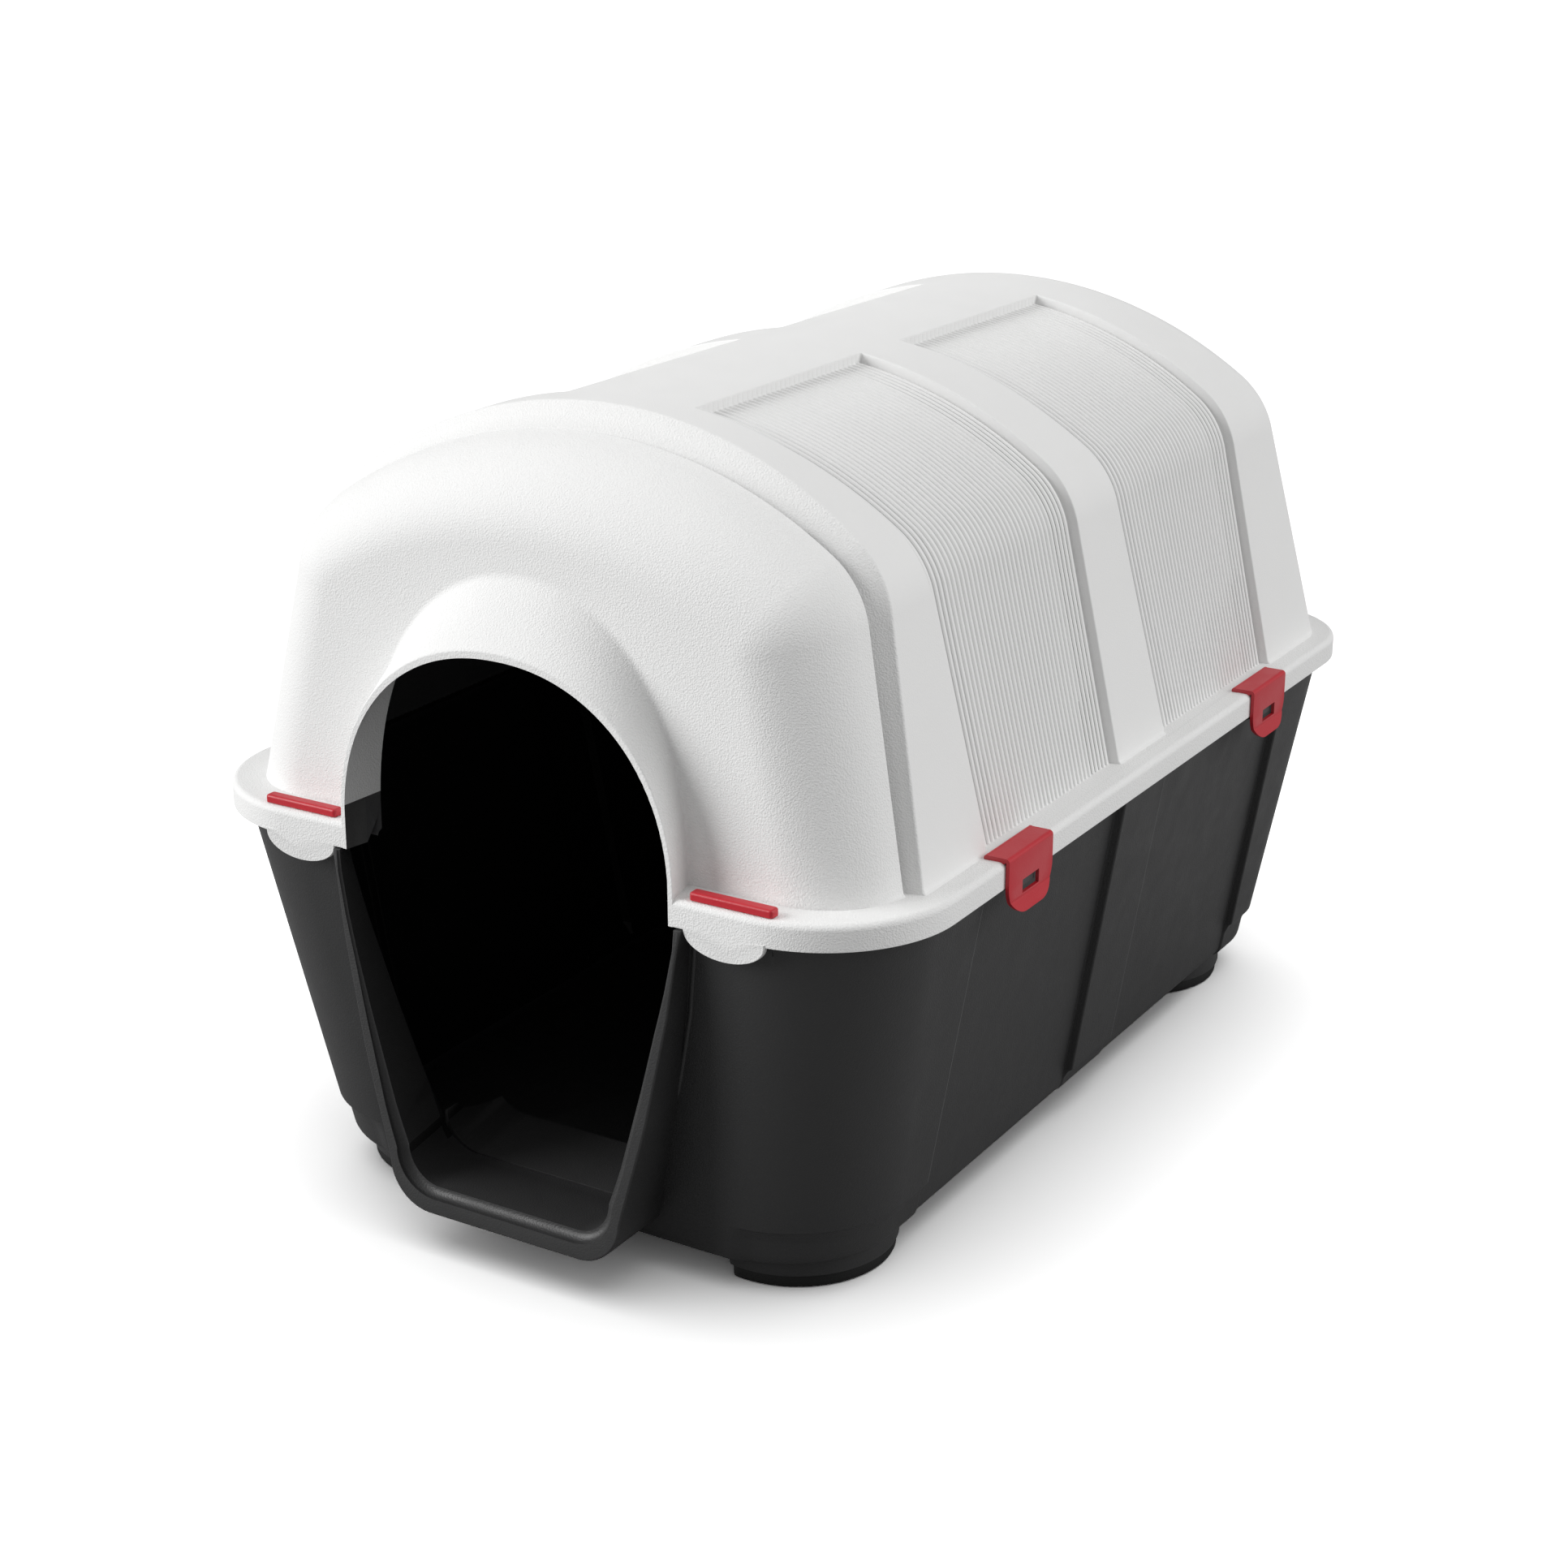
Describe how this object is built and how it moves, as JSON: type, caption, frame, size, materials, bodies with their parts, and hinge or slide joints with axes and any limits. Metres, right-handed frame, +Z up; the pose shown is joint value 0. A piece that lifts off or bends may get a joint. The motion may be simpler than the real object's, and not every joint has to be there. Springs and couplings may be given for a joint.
{
  "type": "dog house",
  "caption": "Moulded outdoor dog house: tapered tub with a door collar, arched ribbed roof with an entrance hood, swing-over side clips and drop-in door keys.",
  "frame": {"origin": "on the ground, under the middle of the house's length and width", "axes": "+Z up, -Y out of the door, +X to the right of someone looking at the door"},
  "size_m": [0.577, 0.839, 0.5775],
  "materials": {
    "tub_plastic": "fine-grained charcoal polypropylene",
    "roof_plastic": "fine-grained off-white polypropylene",
    "clip_plastic": "satin red polypropylene",
    "foot_rubber": "matt black"
  },
  "bodies": {
    "base": {"base_tub": "tub_plastic", "foot_pad_right_front": "foot_rubber", "foot_pad_right_rear": "foot_rubber", "foot_pad_left_front": "foot_rubber", "foot_pad_left_rear": "foot_rubber"},
    "roof": {"roof_shell": "roof_plastic"},
    "clip_right_front": {"side_clip_right_front": "clip_plastic"},
    "clip_right_rear": {"side_clip_right_rear": "clip_plastic"},
    "clip_left_front": {"side_clip_left_front": "clip_plastic"},
    "clip_left_rear": {"side_clip_left_rear": "clip_plastic"},
    "key_right": {"door_key_right": "clip_plastic"},
    "key_left": {"door_key_left": "clip_plastic"}
  },
  "joints": [
    {"name": "roof_lift", "type": "slide", "parent": "base", "child": "roof", "axis": [0, 0, 1], "range_m": [0, 0.06]},
    {"name": "clip_right_front_swing", "type": "hinge", "parent": "roof", "child": "clip_right_front", "pos_m": [0.2685, -0.2095, 0.301], "axis": [0, -1, 0], "range_deg": [0, 95]},
    {"name": "clip_right_rear_swing", "type": "hinge", "parent": "roof", "child": "clip_right_rear", "pos_m": [0.2685, 0.2045, 0.301], "axis": [0, -1, 0], "range_deg": [0, 95]},
    {"name": "clip_left_front_swing", "type": "hinge", "parent": "roof", "child": "clip_left_front", "pos_m": [-0.2685, -0.2095, 0.301], "axis": [0, 1, 0], "range_deg": [0, 95]},
    {"name": "clip_left_rear_swing", "type": "hinge", "parent": "roof", "child": "clip_left_rear", "pos_m": [-0.2685, 0.2045, 0.301], "axis": [0, 1, 0], "range_deg": [0, 95]},
    {"name": "key_right_pull", "type": "slide", "parent": "roof", "child": "key_right", "axis": [0, 0, 1], "range_m": [0, 0.036]},
    {"name": "key_left_pull", "type": "slide", "parent": "roof", "child": "key_left", "axis": [0, 0, 1], "range_m": [0, 0.036]}
  ]
}
